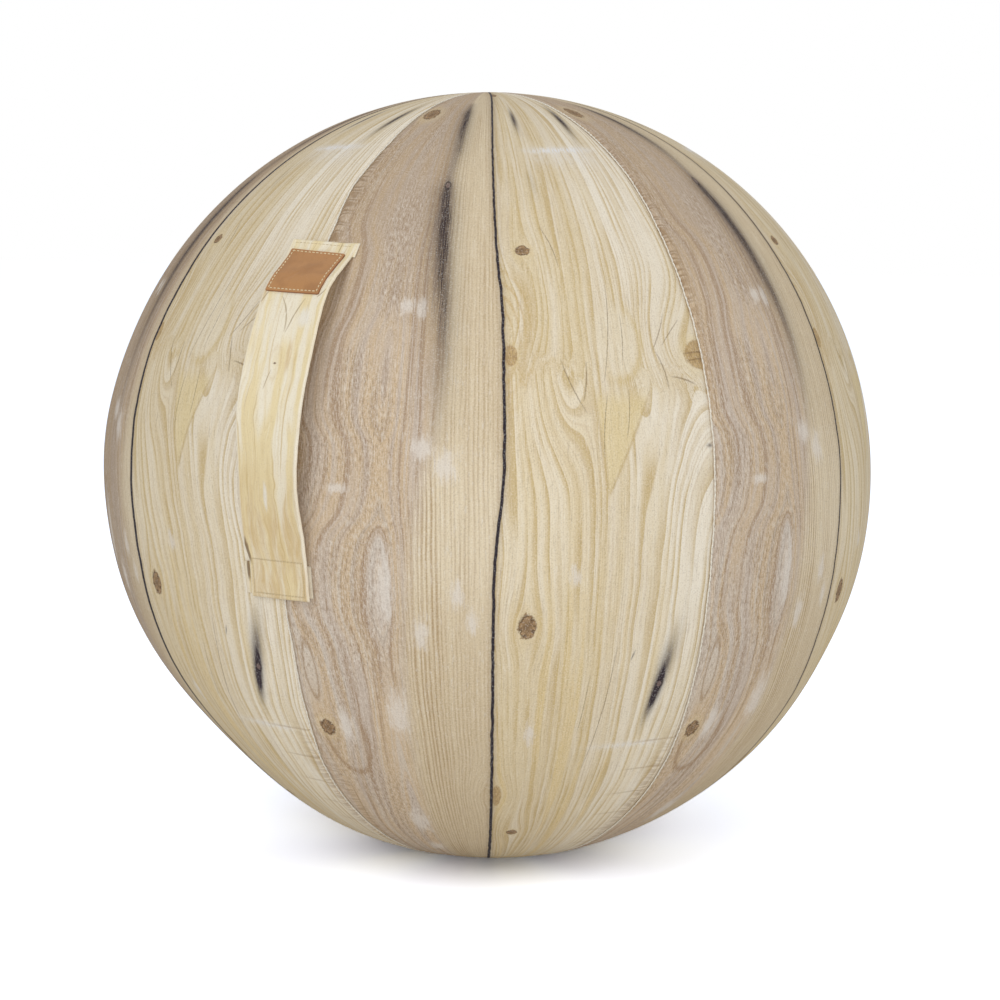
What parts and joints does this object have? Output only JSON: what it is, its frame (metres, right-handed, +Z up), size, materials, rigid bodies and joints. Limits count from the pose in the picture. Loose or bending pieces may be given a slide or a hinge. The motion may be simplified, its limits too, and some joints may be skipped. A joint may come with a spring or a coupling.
{
  "type": "sitting ball",
  "caption": "Inflated sitting ball in a sewn fabric cover with a wood-plank print, a cloth carrying handle and a zip.",
  "frame": {"origin": "centre of the small flat spot that the ball rests on", "axes": "+Z up, -Y towards the handle, +Y towards the zip"},
  "size_m": [0.6498, 0.6685, 0.6461],
  "materials": {
    "cover_cloth": "printed woven cloth",
    "handle_cloth": "printed woven cloth",
    "patch_leather": "smooth",
    "ball_pvc": "satin",
    "valve_plastic": "gloss",
    "zip_tape_cloth": "woven tape",
    "zip_teeth_plastic": "moulded",
    "zip_metal": "satin"
  },
  "bodies": {
    "cover": {"gore_1": "cover_cloth", "gore_2": "cover_cloth", "gore_3": "cover_cloth", "gore_4": "cover_cloth", "gore_5": "cover_cloth", "gore_6": "cover_cloth", "handle_strap": "handle_cloth", "leather_patch": "patch_leather", "inner_ball": "ball_pvc", "valve_plug": "valve_plastic", "zip_tape_left": "zip_tape_cloth", "zip_tape_right": "zip_tape_cloth", "zip_chain_left": "zip_teeth_plastic", "zip_chain_right": "zip_teeth_plastic", "zip_top_stop": "zip_teeth_plastic", "zip_bottom_stop": "zip_teeth_plastic"},
    "slider": {"zip_slider": "zip_metal"},
    "pull_tab": {"zip_pull": "zip_metal"}
  },
  "joints": [
    {"name": "zip_travel", "type": "hinge", "parent": "cover", "child": "slider", "pos_m": [0, 0, 0.32113], "axis": [-1, 0, 0], "range_deg": [0, 66]},
    {"name": "pull_swing", "type": "hinge", "parent": "slider", "child": "pull_tab", "pos_m": [0, 0.32555, 0.36115], "axis": [1, 0, 0], "range_deg": [0, 170]}
  ]
}
